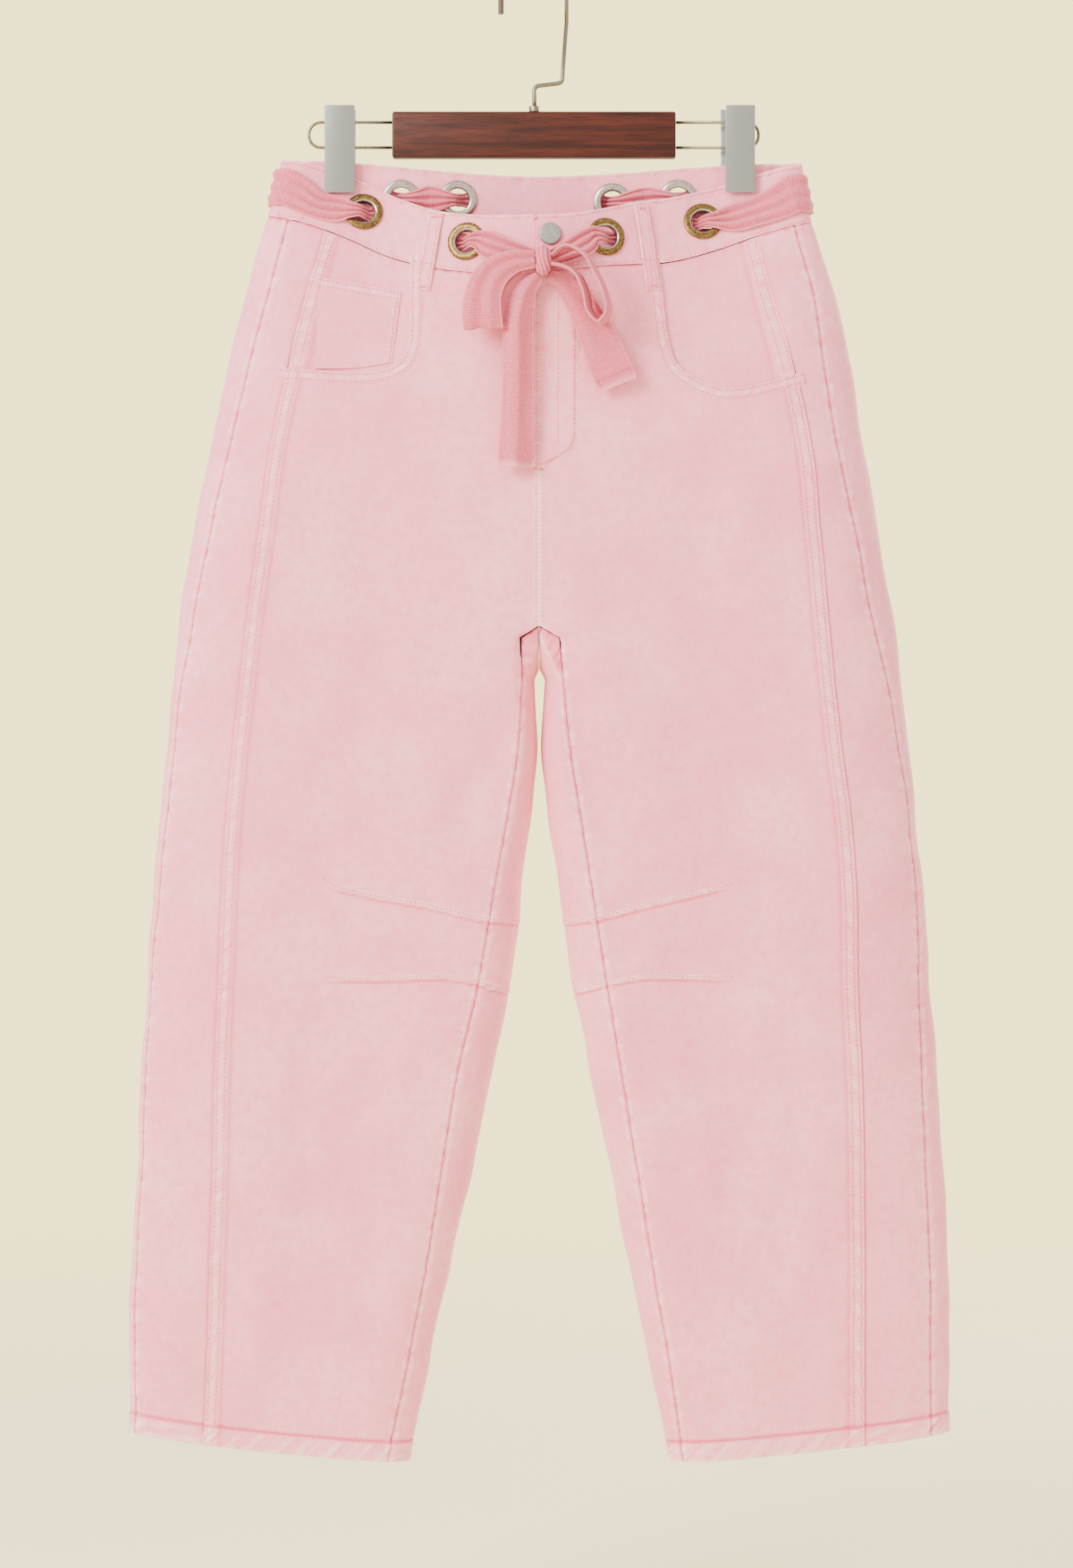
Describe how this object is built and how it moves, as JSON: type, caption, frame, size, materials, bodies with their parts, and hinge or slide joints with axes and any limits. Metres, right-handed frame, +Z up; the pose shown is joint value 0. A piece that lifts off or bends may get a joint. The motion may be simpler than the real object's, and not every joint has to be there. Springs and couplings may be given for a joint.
{
  "type": "barrel leg trousers on a clip hanger",
  "caption": "Barrel leg trousers in pink garment-dyed cotton with a tie belt threaded through eyelets, hanging by the waist from a wood and wire clip hanger.",
  "frame": {"origin": "inside top of the hook, where a rail holds the hanger", "axes": "+Z up, -Y out of the front of the trousers, +X towards the wearer's left"},
  "size_m": [0.6232, 0.0973, 1.1395],
  "materials": {
    "cotton_twill": "garment-dyed cotton twill, brushed",
    "woven_tape": "ribbed woven cotton tape",
    "antique_brass": "antique",
    "brushed_steel": "brushed",
    "steel_wire": "drawn wire, plated",
    "varnished_wood": "reddish varnish",
    "dark_sleeve": "matt",
    "spring_steel": "dull",
    "pewter": "dull"
  },
  "bodies": {
    "root": {"back_left": "cotton_twill", "back_right": "cotton_twill", "belt": "woven_tape", "belt_loop_back_centre": "cotton_twill", "belt_loop_back_left": "cotton_twill", "belt_loop_back_right": "cotton_twill", "belt_loop_front_left": "cotton_twill", "belt_loop_front_right": "cotton_twill", "bow_knot": "woven_tape", "bow_loop_left": "woven_tape", "bow_loop_right": "woven_tape", "bow_tail_left": "woven_tape", "bow_tail_right": "woven_tape", "button": "pewter", "clip_left_back": "brushed_steel", "clip_left_front": "brushed_steel", "clip_left_spring": "spring_steel", "clip_right_back": "brushed_steel", "clip_right_front": "brushed_steel", "clip_right_spring": "spring_steel", "coin_pocket": "cotton_twill", "eyelet_back_left_inner": "antique_brass", "eyelet_back_left_outer": "antique_brass", "eyelet_back_right_inner": "antique_brass", "eyelet_back_right_outer": "antique_brass", "eyelet_front_left_inner": "antique_brass", "eyelet_front_left_outer": "antique_brass", "eyelet_front_right_inner": "antique_brass", "eyelet_front_right_outer": "antique_brass", "fly": "cotton_twill", "front_left": "cotton_twill", "front_right": "cotton_twill", "hanger_bar": "varnished_wood", "hanger_frame_left": "steel_wire", "hanger_frame_right": "steel_wire", "hook": "steel_wire", "hook_collar": "steel_wire", "hook_tip": "dark_sleeve", "pocket_facing_left": "cotton_twill", "pocket_facing_right": "cotton_twill", "side_left": "cotton_twill", "side_right": "cotton_twill", "waistband_back": "cotton_twill", "waistband_front_left": "cotton_twill", "waistband_front_right": "cotton_twill"}
  },
  "joints": []
}
